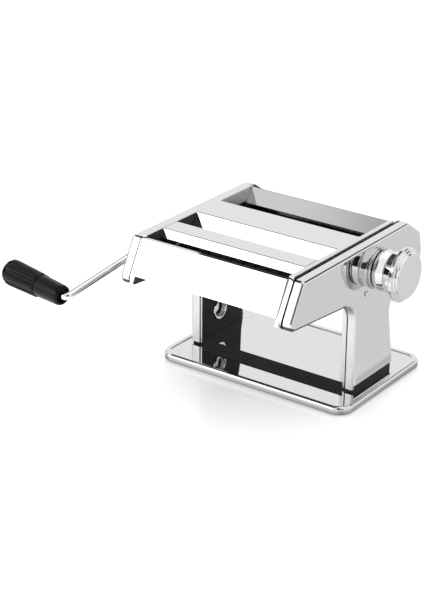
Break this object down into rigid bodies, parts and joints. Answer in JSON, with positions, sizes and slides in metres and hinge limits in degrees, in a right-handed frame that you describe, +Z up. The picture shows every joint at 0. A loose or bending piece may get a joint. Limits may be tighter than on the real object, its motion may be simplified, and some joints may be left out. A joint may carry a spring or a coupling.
{
  "type": "pasta roller machine",
  "caption": "Hand-cranked pasta roller: chromed sheet-metal body on a tray base, smooth rollers set by a side knob, cutting rollers below the top slots, black grip.",
  "frame": {"origin": "middle of the base footprint, on the table", "axes": "+X towards the setting knob (crank on -X), +Y towards the back, +Z up"},
  "size_m": [0.3342, 0.2562, 0.1498],
  "materials": {
    "polished_steel": "mirror polished chromed steel sheet",
    "brushed_inner": "plain zinc-plated inner steel",
    "roller_steel": "ground and chromed roller",
    "knob_chrome": "chromed knob with a satin face",
    "black_plastic": "satin black moulded plastic",
    "nylon": "natural nylon",
    "foot_rubber": "matt rubber",
    "printed_mark": "dark index mark"
  },
  "bodies": {
    "frame": {"base_pan": "polished_steel", "rubber_feet": "foot_rubber", "plinth_spacer": "black_plastic", "deck_plate": "polished_steel", "base_screws": "brushed_inner", "base_nuts": "brushed_inner", "side_frame_left": "polished_steel", "side_frame_right": "polished_steel", "side_cover_left": "polished_steel", "side_cover_right": "polished_steel", "standoffs_left": "brushed_inner", "standoffs_right": "brushed_inner", "bushes_left": "nylon", "bushes_right": "nylon", "guides_left": "brushed_inner", "guides_right": "brushed_inner", "clamp_collar": "polished_steel", "front_apron": "polished_steel", "front_divider": "polished_steel", "top_cover": "polished_steel", "hopper_plate": "polished_steel", "rear_cover": "polished_steel", "tie_rods": "brushed_inner", "tie_nuts": "brushed_inner", "scraper_adjust": "nylon", "scraper_drive": "nylon", "comb_wide_front": "nylon", "comb_wide_rear": "nylon", "comb_narrow_front": "nylon", "comb_narrow_rear": "nylon", "knob_collar": "brushed_inner", "index_mark": "printed_mark", "leg_liner_left": "black_plastic", "leg_liner_right": "polished_steel", "slot_cheeks": "black_plastic"},
    "drive": {"drive_roller": "roller_steel", "gear_drive": "brushed_inner"},
    "carriage": {"carriage_left": "brushed_inner", "carriage_right": "brushed_inner", "carriage_bar": "brushed_inner"},
    "adjuster": {"adjust_roller": "roller_steel", "gear_adjust": "brushed_inner"},
    "knob": {"knob_shaft": "brushed_inner", "knob_cam": "brushed_inner", "knob_hub": "knob_chrome", "knob_disc": "knob_chrome"},
    "crank": {"crank_rod": "polished_steel", "grip_clip": "brushed_inner", "wide_cutter_rear": "roller_steel", "gear_wide_rear": "brushed_inner"},
    "grip": {"crank_grip": "black_plastic"},
    "wide_follower": {"wide_cutter_front": "roller_steel", "gear_wide_front": "brushed_inner"},
    "narrow_driver": {"narrow_cutter_rear": "roller_steel", "gear_narrow_rear": "brushed_inner"},
    "narrow_follower": {"narrow_cutter_front": "roller_steel", "gear_narrow_front": "brushed_inner"}
  },
  "joints": [
    {"name": "drive_spin", "type": "hinge", "parent": "frame", "child": "drive", "pos_m": [0, 0.0325, 0.118], "axis": [1, 0, 0], "continuous": true},
    {"name": "thickness_slide", "type": "slide", "parent": "frame", "child": "carriage", "axis": [0, 1, 0], "range_m": [0, 0.0022]},
    {"name": "adjust_spin", "type": "hinge", "parent": "carriage", "child": "adjuster", "pos_m": [0, 0.002, 0.118], "axis": [1, 0, 0], "continuous": true},
    {"name": "knob_turn", "type": "hinge", "parent": "frame", "child": "knob", "pos_m": [0, 0.003, 0.118], "axis": [1, 0, 0], "range_deg": [-300, 0]},
    {"name": "crank_spin", "type": "hinge", "parent": "frame", "child": "crank", "pos_m": [0, -0.052, 0.118], "axis": [1, 0, 0], "continuous": true},
    {"name": "grip_spin", "type": "hinge", "parent": "crank", "child": "grip", "pos_m": [-0.13299, -0.16978, 0.09059], "axis": [-0.9888, 0.1456, 0.0339], "continuous": true},
    {"name": "wide_spin", "type": "hinge", "parent": "frame", "child": "wide_follower", "pos_m": [0, -0.073, 0.118], "axis": [1, 0, 0], "continuous": true},
    {"name": "narrow_spin", "type": "hinge", "parent": "frame", "child": "narrow_driver", "pos_m": [0, -0.1015, 0.124], "axis": [1, 0, 0], "continuous": true},
    {"name": "narrow_follow", "type": "hinge", "parent": "frame", "child": "narrow_follower", "pos_m": [0, -0.1225, 0.124], "axis": [1, 0, 0], "continuous": true}
  ],
  "couplings": [
    {"joint": "adjust_spin", "follows": "drive_spin", "ratio": -1},
    {"joint": "wide_spin", "follows": "crank_spin", "ratio": -1},
    {"joint": "narrow_follow", "follows": "narrow_spin", "ratio": -1},
    {"joint": "thickness_slide", "follows": "knob_turn", "m_per_rad": -0.00042017}
  ]
}
